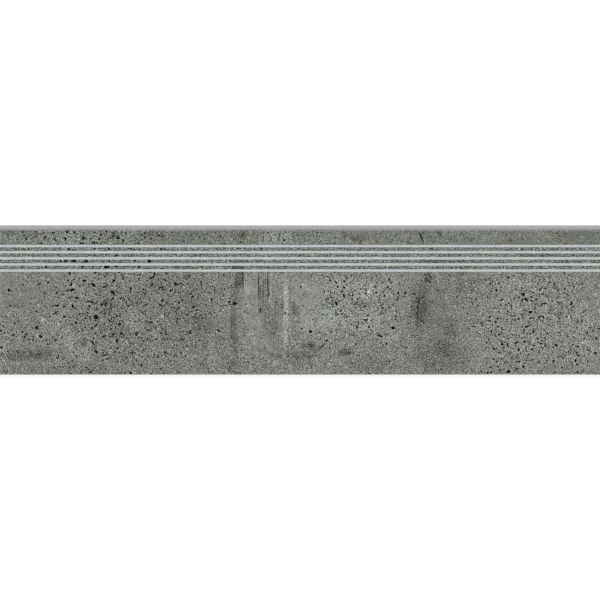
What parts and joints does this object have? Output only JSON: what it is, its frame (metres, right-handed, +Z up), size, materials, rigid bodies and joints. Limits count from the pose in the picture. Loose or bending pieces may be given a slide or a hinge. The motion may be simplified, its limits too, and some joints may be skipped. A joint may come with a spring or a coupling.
{
  "type": "porcelain step tile",
  "caption": "Long flat porcelain stair-tread tile: rounded front edge, anti-slip grooves behind it, sawn square ends and rear edge, shallow waffle underside.",
  "frame": {"origin": "centre of the underside, on the plane that the tile lies on", "axes": "+X along the tread from end to end, -Y towards the rounded front edge (the nose), +Z up, out of the walked face"},
  "size_m": [1.198, 0.298, 0.01],
  "materials": {
    "glazed_porcelain": "matte"
  },
  "bodies": {
    "root": {"step_tile": "glazed_porcelain"}
  },
  "joints": []
}
